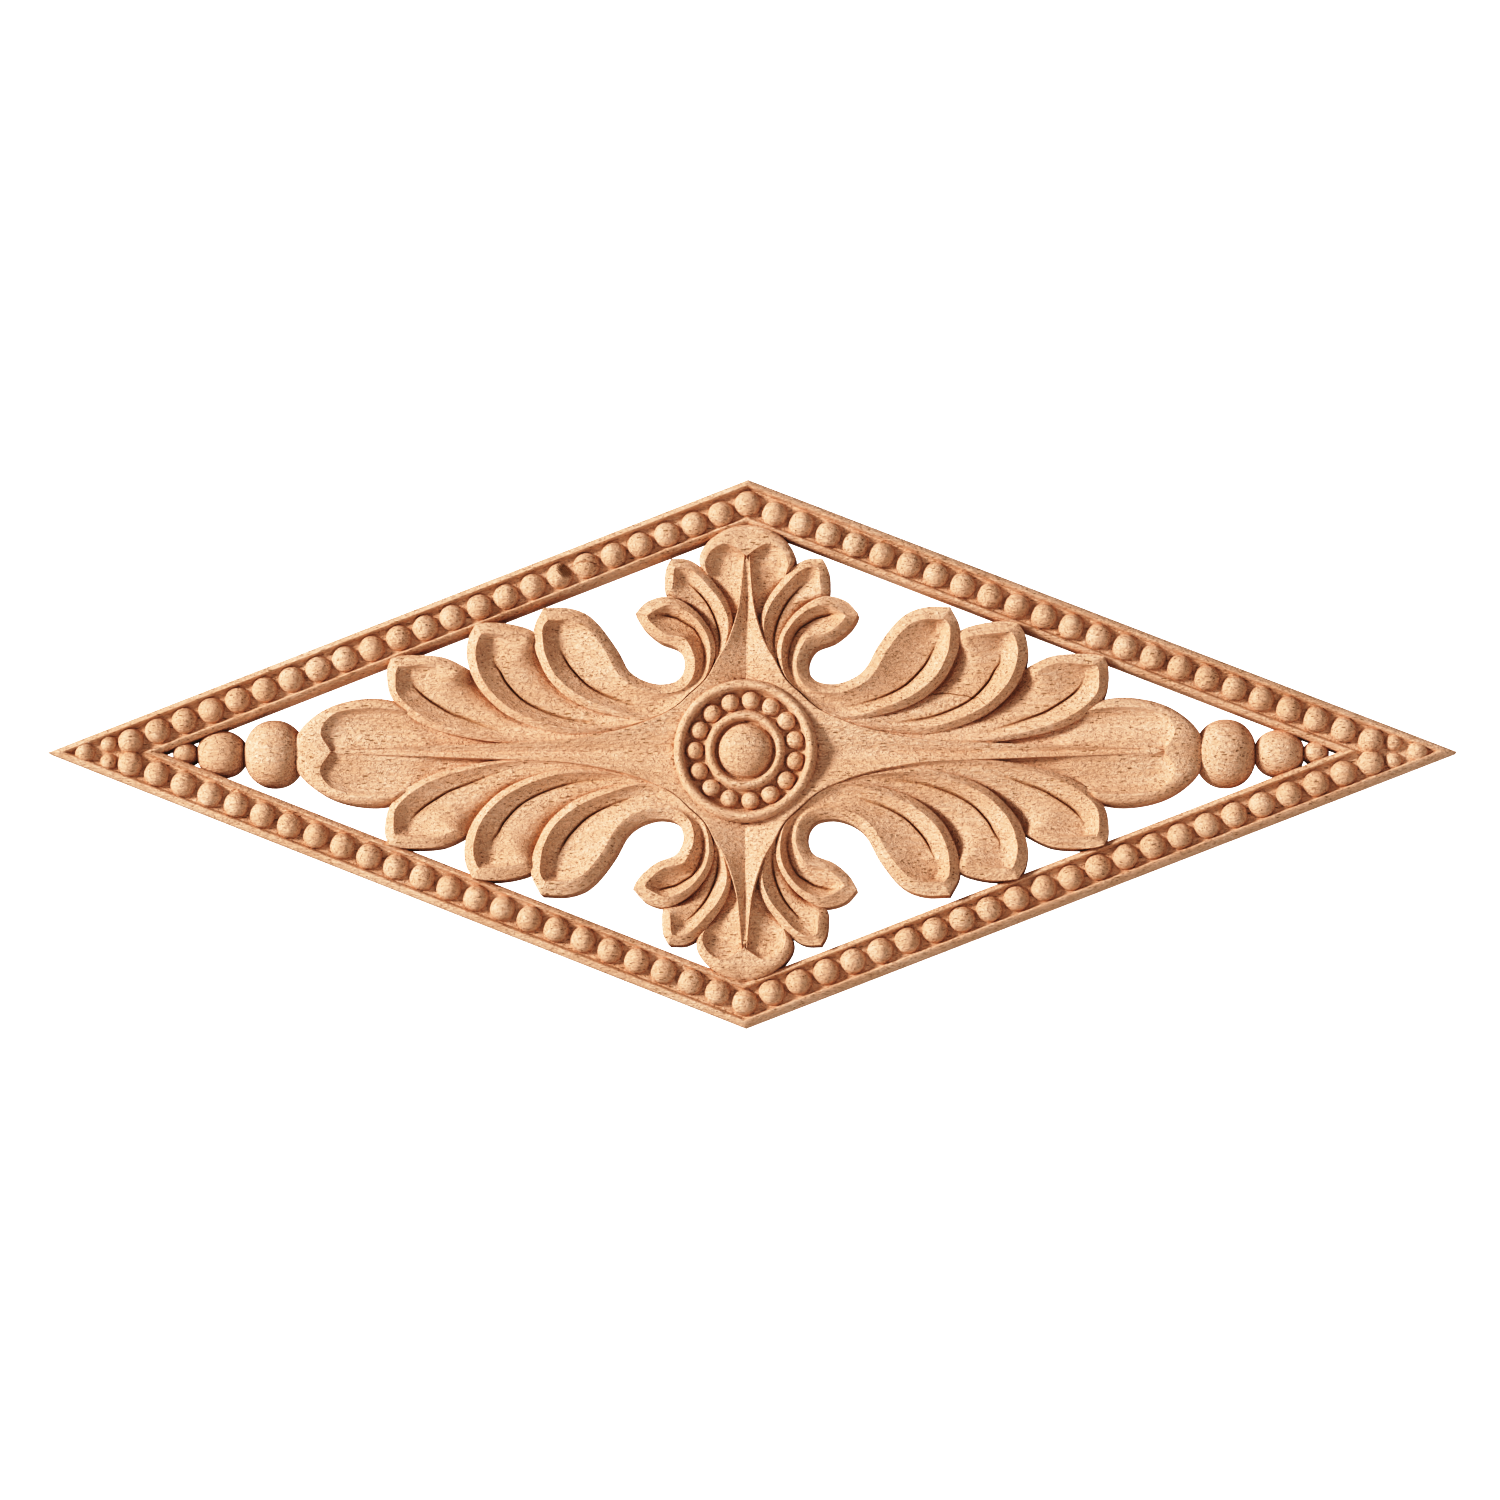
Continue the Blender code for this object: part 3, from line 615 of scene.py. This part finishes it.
OUTER_LEAF = (
    (26.0, 9.0, 26.3, 9.3, 27.0, 10.2, 11.6, 0.3, 0.5, 0.6, 0.0, 0.0),
    (36.0, 6.2, 37.2, 8.2, 38.0, 12.5, 11.7, 0.7, 0.94, 1.4, 0.0, 0.0),
    (52.0, 5.0, 51.0, 8.5, 47.0, 16.8, 11.9, 1.5, 1.41, 2.4, 0.6, 0.0),
    (67.0, 9.9, 62.5, 13.5, 54.0, 22.0, 12.1, 2.02, 1.88, 2.9, 1.0, 0.0),
    (74.6, 16.2, 68.6, 18.5, 58.0, 29.0, 12.2, 2.2, 2.44, 3.0, 1.1, 0.25),
    (78.0, 21.4, 71.2, 22.6, 60.2, 33.9, 12.3, 2.29, 2.82, 3.0, 0.7, 1.0),
    (79.7, 27.5, 72.3, 28.8, 66.5, 36.2, 12.3, 2.29, 2.63, 2.9, 0.0, 1.0),
    (79.0, 32.8, 74.3, 33.3, 73.0, 36.7, 12.3, 1.9, 1.5, 2.4, 0.0, 1.0),
    (77.0, 36.2, 77.0, 36.2, 77.0, 36.2, 12.3, 0.9, 0.7, 1.9, 0.0, 1.0),
)
END_SIDE_LEAF = (
    (33.0, 5.4, 33.4, 5.8, 34.4, 7.0, 10.9, 0.3, 0.5, 0.5, 0.0, 0.0),
    (50.0, 2.8, 50.4, 3.8, 50.0, 8.0, 10.9, 0.5, 0.8, 0.9, 0.0, 0.0),
    (66.0, 2.2, 66.5, 4.6, 65.0, 11.2, 11.0, 0.79, 1.13, 1.4, 0.0, 0.0),
    (82.0, 4.5, 80.0, 8.7, 73.5, 18.0, 11.2, 1.5, 1.69, 2.4, 0.7, 0.0),
    (90.3, 7.1, 85.4, 11.7, 77.2, 22.0, 11.3, 1.85, 2.26, 2.6, 1.0, 0.25),
    (96.5, 10.6, 91.4, 15.6, 80.2, 24.2, 11.4, 2.02, 2.54, 2.8, 1.0, 1.0),
    (101.1, 15.5, 94.8, 19.0, 86.5, 27.0, 11.5, 2.11, 2.44, 2.8, 0.3, 1.0),
    (102.4, 20.3, 96.2, 22.3, 94.0, 27.6, 11.5, 2.11, 2.07, 2.5, 0.0, 1.0),
    (102.3, 24.0, 98.6, 24.7, 98.5, 27.3, 11.5, 1.7, 1.3, 2.2, 0.0, 1.0),
    (101.2, 26.6, 101.2, 26.6, 101.2, 26.6, 11.5, 0.9, 0.7, 1.8, 0.0, 1.0),
)
TOP_SIDE_LEAF = (
    (8.2, 24.4, 8.5, 24.5, 9.5, 24.7, 11.2, 0.3, 0.5, 0.6, 0.0, 0.0),
    (5.3, 30.5, 7.7, 30.8, 10.9, 30.5, 11.3, 0.53, 0.75, 1.9, 0.5, 0.0),
    (3.9, 36.5, 8.4, 36.0, 13.2, 35.2, 11.4, 1.14, 0.94, 2.4, 0.8, 0.0),
    (5.6, 42.8, 10.9, 41.8, 17.5, 40.2, 11.5, 1.67, 1.32, 2.6, 0.9, 0.0),
    (9.3, 48.2, 14.2, 45.9, 22.8, 44.2, 11.6, 1.94, 2.07, 2.6, 0.6, 0.7),
    (13.2, 52.7, 17.4, 48.9, 23.4, 48.4, 11.6, 2.02, 2.26, 2.4, 0.0, 1.0),
    (17.0, 54.8, 19.6, 51.8, 23.0, 52.0, 11.6, 1.8, 1.7, 2.2, 0.0, 1.0),
    (21.5, 54.9, 21.5, 54.9, 21.5, 54.9, 11.6, 0.9, 0.8, 1.8, 0.0, 1.0),
)


def edge_share(edge, chord, width, bevel):
    """How much of each section a bevel of the given width takes, measured square to the edge.

    It is the bevel over the section's width times the sine of the angle between section and edge.
    """
    run = np.gradient(edge, axis=0)
    run /= np.linalg.norm(run, axis=1)[:, None] + 1e-9
    sine = np.abs(chord[:, 0] * run[:, 1] - chord[:, 1] * run[:, 0]) / (width + 1e-9)
    return bevel / ((width + 1e-6) * np.clip(sine, 0.4, 1.0))


def leaf_sheet(sections, stations, floor_height):
    """The leaf's closed sections in one quarter, with the painted shade at each point.

    A section runs up the near wall, over the near bevel to the rim, down to the vein and its groove, through
    the dish up to the far rim, over the far bevel and down the far wall. Each stretch falls by a power of the
    share of its way. Where the leaf is narrow the two bevels meet in a ridge, which falls towards the tip.
    """
    rows = smooth_curve(sections, stations, by=[0, 1, 4, 5])
    near, vein, far = rows[:, :2], rows[:, 2:4], rows[:, 4:6]
    crest, near_bevel, far_bevel, depth, cut, shown = rows[:, 6:].T
    cut, shown = np.clip(cut, 0, None), np.clip(shown, 0, 1)
    chord = far - near
    width = np.linalg.norm(chord, axis=1)
    vein_share = np.clip(np.sum((vein - near) * chord, axis=1) / (width**2 + 1e-9), 0.06, 0.94)
    aside = vein - near - chord * vein_share[:, None]
    first = edge_share(near, chord, width, np.clip(near_bevel, 0.05, None))
    last = edge_share(far, chord, width, np.clip(far_bevel, 0.05, None))
    room = np.minimum(1.0, 0.97 / (first + last))
    first, last = first * room, last * room
    dip = np.clip(vein_share, first + 0.3 * (1 - first - last), 1 - last - 0.25 * (1 - first - last))
    half = np.minimum(GROOVE_HALF / (width + 1e-6), 0.4 * np.minimum(dip - first, 1 - last - dip))
    guides = np.stack([0 * dip, first, dip - half, dip, dip + half, 1 - last, 0 * dip + 1], axis=1)
    shares = []
    for k, count in enumerate(GUIDE_STEPS):
        stretch = (guides[:, k + 1] - guides[:, k])[:, None]
        shares.append(guides[:, k, None] + stretch * np.arange(count) / count)
    s = np.concatenate(shares + [guides[:, -1:]], axis=1)
    first, last, dip, half = (value[:, None] for value in (first, last, dip, half))
    inner = width * (guides[:, 5] - guides[:, 1])
    deep = (depth * np.clip(inner / WIDE_DISH, 0, 1))[:, None]
    cut, shown, room = cut[:, None], shown[:, None], room[:, None]
    near_fall, far_fall = NEAR_SLOPE * near_bevel[:, None], FAR_SLOPE * far_bevel[:, None]
    grooved = np.clip(cut / GROOVE_FULL, 0, 1)
    wide = np.clip(inner / WIDE_GROOVE, 0, 1)[:, None]
    bowl = 1 - grooved  # the section is a V along the groove and rounded beyond it
    ridge = (1 - room) * 0.5 * (near_fall + far_fall)
    f = np.clip(s / first, 0, 1)
    low = ridge + (near_fall - ridge) * (1 - f) ** 1.15
    f = np.clip((s - first) / (dip - first + 1e-9), 0, 1)
    low = low + deep * (1 - (1 - f) ** (1.15 + 0.85 * bowl)) * (s <= dip)
    f = np.clip((s - dip) / (1 - last - dip + 1e-9), 0, 1)
    dish = deep * (1 - shown * f ** (1.5 + 0.7 * bowl)) + (1 - shown) * HIDDEN_DROP * f**4
    low = np.where(s > dip, ridge + dish, low)
    f = np.clip((s - 1 + last) / (last + 1e-9), 0, 1)
    low = low + shown * (far_fall - ridge) * f**1.3 + (1 - shown) * 0.4 * f
    near_vein = np.clip(1 - np.abs(s - dip) / (half + 1e-9), 0, 1)
    low = low + cut * near_vein**0.8 * wide
    # painted shade along the groove, fading away from the vein
    reach = 1 - np.clip(np.abs(s - dip) * width[:, None] / SHADE_HALF, 0, 1)
    hollow = GROOVE_SHADE * grooved * reach**1.5 * wide
    lean = np.where(s < dip, s / dip, (1 - s) / (1 - dip))
    x = near[:, :1] + chord[:, :1] * s + aside[:, :1] * lean
    z = near[:, 1:] + chord[:, 1:] * s + aside[:, 1:] * lean
    h = crest[:, None] - low
    near_wall = [floor_height + (h[:, :1] - floor_height) * share for share in reversed(WALL_SHARES)]
    far_wall = [floor_height + (h[:, -1:] - floor_height) * share for share in WALL_SHARES]
    points = len(WALL_SHARES)
    x = np.concatenate([x[:, :1]] * points + [x] + [x[:, -1:]] * points, axis=1)
    z = np.concatenate([z[:, :1]] * points + [z] + [z[:, -1:]] * points, axis=1)
    h = np.concatenate(near_wall + [h] + far_wall, axis=1)
    # painted shade on the walls
    shade = np.full((stations, points), WALL_SHADE)
    return x, z, h, np.concatenate([shade, hollow, shade], axis=1)


def leaves(name, sections, stations, floor_height, seed):
    """The same leaf in all four quarters, each with its own torn fibres."""
    x, z, h, hollow = leaf_sheet(sections, stations, floor_height)
    grids = []
    for k, (sx, sz) in enumerate(QUARTERS):
        rough = roughen(x * sx, z * sz, h, amount=0.8, seed=seed + 5 * k)
        grids.append(np.stack([x * sx, z * sz, rough], axis=-1))
    skin(name, grids, [hollow] * 4, sharp=34.0)


leaves("hooked_scroll_leaves", SCROLL_LEAF, stations=300, floor_height=0.04, seed=41)
leaves("outer_leaves", OUTER_LEAF, stations=150, floor_height=0.06, seed=51)
leaves("end_side_leaves", END_SIDE_LEAF, stations=140, floor_height=0.08, seed=61)
leaves("top_side_leaves", TOP_SIDE_LEAF, stations=110, floor_height=0.10, seed=71)

# Cupped leaves. Each arm of the star runs out in a shell: a broad rounded rim, and on both sides of the
# midrib a scooped hollow whose end stands up steeply and swings in to a cusp.
END_CUP_OUTLINE = (  # along the arm, out from its middle
    (60.0, 8.5), (92.0, 12.9), (107.0, 15.4), (119.5, 12.6), (127.6, 6.0), (129.6, 0.0),
)
END_CUP_SCOOP = ((60.0, 6.8), (92.0, 10.8), (106.5, 12.3), (117.6, 10.4), (121.0, 5.5), (118.0, 0.0))
TOP_CUP_OUTLINE = (
    (31.5, 6.4), (46.0, 10.4), (55.0, 13.7), (59.4, 11.7), (62.6, 7.9), (64.9, 3.2), (65.4, 0.0),
)
TOP_CUP_SCOOP = (
    (31.5, 5.4), (46.0, 9.0), (53.2, 11.8), (57.4, 9.8), (59.1, 6.0), (57.6, 2.6), (55.6, 0.0),
)
CUSP = 3.0  # the last stretch of the midrib, where it narrows to nothing
RIM_FALL, RIM_FALL_GROWTH, PLAIN_RIM = 2.3, 0.26, 3.0  # a rim falls more where it is wider than a plain one
SUNK_RIM = 1.5  # how deep the rim lies before the cup emerges, in depths of the hollow
CUP_WALL_SHARES = (0.0, 0.4, 0.8)
RIDGE_COVER = 0.3  # how far the cup's midrib goes out under the star's ridge


def cup_sheet(outline, scoop, lip_half, crest, depth, emerges, stations, floor_height):
    """One half of a cup, as distances along the arm and from its middle, with heights.

    Every section runs from the outline over the rim, a quarter of a rounded square, to the scoop's edge and
    down through the hollow, a leaning sine, to the midrib. Before the cup emerges from under the side leaves
    its rim is sunk.
    """
    outer = smooth_curve(outline, stations)
    inner = smooth_curve(scoop, stations)
    end = scoop[-1][0]
    along = np.linspace(outline[0][0], end, stations)
    middle = np.stack([along, lip_half(along) * (1 - ease(along, end - CUSP, end))], axis=-1)
    risen = ease(outer[:, 0], *emerges)[:, None]
    rim_width = np.linalg.norm(inner - outer, axis=1)[:, None]
    f = np.linspace(0, 1, 12)[None, :]
    fall = RIM_FALL + RIM_FALL_GROWTH * np.clip(rim_width - PLAIN_RIM, 0, 9)
    rim_low = fall * (1 - np.sqrt(np.clip(1 - (1 - f) ** 2.2, 0, 1)))
    rim_low = depth * SUNK_RIM + (rim_low - depth * SUNK_RIM) * risen
    g = np.linspace(0, 1, 22)[None, 1:]
    open_share = np.linspace(1, 0, stations)[:, None] ** 0.2
    bowl = (depth * np.sin(np.pi * g**0.80) ** 0.75 + 1.4 * g**3) * np.clip(open_share, 0, 1)
    sunk_bowl = depth * np.clip(1.35 - 0.5 * g, 0.75, 1.35)
    low = np.concatenate([rim_low, sunk_bowl + (bowl - sunk_bowl) * risen], axis=1)
    rim = outer[:, None] + (inner - outer)[:, None] * f[..., None]
    hollow = inner[:, None] + (middle - inner)[:, None] * g[..., None]
    place = np.concatenate([rim, hollow], axis=1)
    h = crest - low
    walls = [floor_height + (h[:, :1] - floor_height) * share for share in CUP_WALL_SHARES]
    a = np.concatenate([place[:, :1, 0]] * len(walls) + [place[..., 0]], axis=1)
    b = np.concatenate([place[:, :1, 1]] * len(walls) + [place[..., 1]], axis=1)
    return a, b, np.concatenate(walls + [h], axis=1)


def cups(name, sheet, turned, seed):
    """Both halves of two opposite cups in one mesh, closed across the midrib and behind."""
    a, b, h = sheet
    a, b, h = (np.concatenate([v, sign * v[:, ::-1]], axis=1) for v, sign in ((a, 1), (b, -1), (h, 1)))
    grids = []
    for side in (1, -1):
        x, z = (b, a * side) if turned else (a * side, b)
        grids.append(np.stack([x, z, roughen(x, z, h, amount=1.0, seed=seed)], axis=-1))
    skin(name, grids, [0.0, 0.0], sharp=34.0)


def long_arm_half(distance):
    """Half the width of a long arm at a distance along it, from the star's ridge."""
    inwards = lip[::-1]
    return np.interp(distance, inwards[:, 0], inwards[:, 1]) + RIDGE_COVER


def short_arm_half(distance):
    """Half the width of a short arm at a distance along it, from the star's ridge."""
    return np.interp(distance, lip[:, 1], lip[:, 0]) + RIDGE_COVER


end_cup = cup_sheet(
    END_CUP_OUTLINE, END_CUP_SCOOP, long_arm_half, crest=11.1, depth=3.0, emerges=(94.0, 102.0), stations=190,
    floor_height=0.12,
)
top_cup = cup_sheet(
    TOP_CUP_OUTLINE, TOP_CUP_SCOOP, short_arm_half, crest=11.4, depth=3.1, emerges=(48.5, 54.5), stations=150,
    floor_height=0.14,
)
cups("end_cups", end_cup, turned=False, seed=81)
cups("top_cups", top_cup, turned=True, seed=91)

# Rosette. A turned ring with a round edge, fifteen balls in its deep channel, a thinner ring and a low dome
# in the middle, with a narrow quirk cut round it.
ROSETTE_PROFILE = (  # radius, height
    (0.0, 16.0), (2.5, 15.8), (4.6, 15.2), (6.2, 14.2), (7.3, 12.9), (7.9, 11.7), (8.3, 11.5), (8.7, 12.7),
    (9.2, 13.7), (9.9, 14.0), (10.6, 13.6), (11.2, 12.6), (11.5, 11.6), (12.0, 11.0), (13.5, 10.8),
    (15.2, 10.8), (16.6, 11.0), (17.1, 11.8), (17.35, 12.9), (17.8, 13.9), (18.7, 14.4), (19.6, 13.9),
    (20.2, 12.6), (20.4, 10.8), (20.4, 8.0), (20.4, 4.0), (20.4, 0.02),
)
ROSETTE_FLOOR, ROSETTE_FLOOR_SHADE = (11.2, 12.2, 16.4, 17.3), 0.20  # radii where the painted shade of the channel floor comes and goes
QUIRK_RADIUS, QUIRK_WIDTH, QUIRK_SHADE = 8.1, 0.35, 0.4
ROSETTE_BEADS, ROSETTE_BEAD_CIRCLE = 15, 14.3
ROSETTE_BEAD_RADIUS, ROSETTE_BEAD_HEIGHT, ROSETTE_BEAD_FOOT = 2.65, 2.6, 11.1
ROSETTE_BEAD_SEAT = (0.12, 11.0, 12.2)
ROSETTE_SEED, ROSETTE_BEAD_SEED = 21, 500

turned_profile = smooth_curve(ROSETTE_PROFILE, 110)
turned_profile[0, 0] = 0.0
radius = turned_profile[:, 0]
round_steps = np.linspace(0, 2 * np.pi, 220, endpoint=False)
rosette_x = np.outer(radius, np.cos(round_steps))
rosette_z = np.outer(radius, np.sin(round_steps))
rosette_h = np.broadcast_to(turned_profile[:, 1:], rosette_x.shape).copy()
rosette_h[1:] = roughen(rosette_x[1:], rosette_z[1:], rosette_h[1:], amount=1.0, seed=ROSETTE_SEED)
floor_shade = ROSETTE_FLOOR_SHADE * ease(radius, *ROSETTE_FLOOR[:2]) * (1 - ease(radius, *ROSETTE_FLOOR[2:]))
# painted shade in the quirk
quirk = QUIRK_SHADE * np.exp(-((radius - QUIRK_RADIUS) / QUIRK_WIDTH) ** 2)
skin("rosette", [np.stack([rosette_x, rosette_z, rosette_h], axis=-1)], [(floor_shade + quirk)[:, None]])

rosette_beads = []
for k in range(ROSETTE_BEADS):
    turn = math.pi + 2 * math.pi * k / ROSETTE_BEADS
    x, z = ROSETTE_BEAD_CIRCLE * math.cos(turn), ROSETTE_BEAD_CIRCLE * math.sin(turn)
    size = (ROSETTE_BEAD_RADIUS, ROSETTE_BEAD_HEIGHT, ROSETTE_BEAD_FOOT)
    rosette_beads.append(dome(x, z, *size, ROSETTE_BEAD_SEED + 3 * k))
rosette_bead_shades = [seat_shade(grid, *ROSETTE_BEAD_SEAT) for grid in rosette_beads]
skin("rosette_beads", rosette_beads, rosette_bead_shades, sharp=60.0)

# Chains. In each long point three plump beads of falling size run from the cup to the frame, touching. They
# are carved from the same board and go down to its flat back.
END_CHAIN = (  # x, half length, half width, top
    (135.3, 8.7, 9.7, 11.8), (150.4, 7.2, 6.7, 10.4), (160.6, 3.8, 3.3, 9.0),
)
CHAIN_SEAT = 3.2  # the height up to which a bead's wall is upright
CHAIN_BEAD_SEAT = (0.25, 2.0, 6.0)
CHAIN_BACK, BACK_STEP = 0.18, 0.02
OVAL_POWER, ROUND_POWER = 2.15, 0.95
CHAIN_SEED = 600


def barrel(x, half_length, half_width, top, floor_height, seed, around=96, up=26):
    """A plump bead: a squarish oval in plan, half round in height, standing on a short upright wall.

    The oval is a superellipse, and the powers of sine and cosine up the side are a little under one.
    """
    turn = np.linspace(0, 2 * np.pi, around, endpoint=False)
    climb = np.linspace(0, np.pi / 2, up)[:, None]
    circle = np.stack([np.cos(turn), np.sin(turn)])
    oval = np.abs(circle) ** (2 / OVAL_POWER) * np.sign(circle)
    out, rise = np.cos(climb) ** ROUND_POWER, np.sin(climb) ** ROUND_POWER
    out[-1] = 0.0
    grid_x, grid_z = x + half_length * out * oval[0], half_width * out * oval[1]
    grid_h = CHAIN_SEAT + (top - CHAIN_SEAT) * rise + 0 * turn
    grid_h = roughen(grid_x, grid_z, grid_h, amount=1.3, seed=seed)
    grid = np.stack([grid_x, grid_z, grid_h], axis=-1)
    grid[-1] = grid[-1].mean(axis=0)
    base = grid[:1].copy()
    base[..., 2] = floor_height
    return np.concatenate([base, grid])


chain = []
for side in (1, -1):
    for k, (x, *size) in enumerate(END_CHAIN):
        chain.append(barrel(x * side, *size, CHAIN_BACK + BACK_STEP * k, CHAIN_SEED + k))
skin("end_chains", chain, [seat_shade(grid, *CHAIN_BEAD_SEAT) for grid in chain], sharp=60.0)
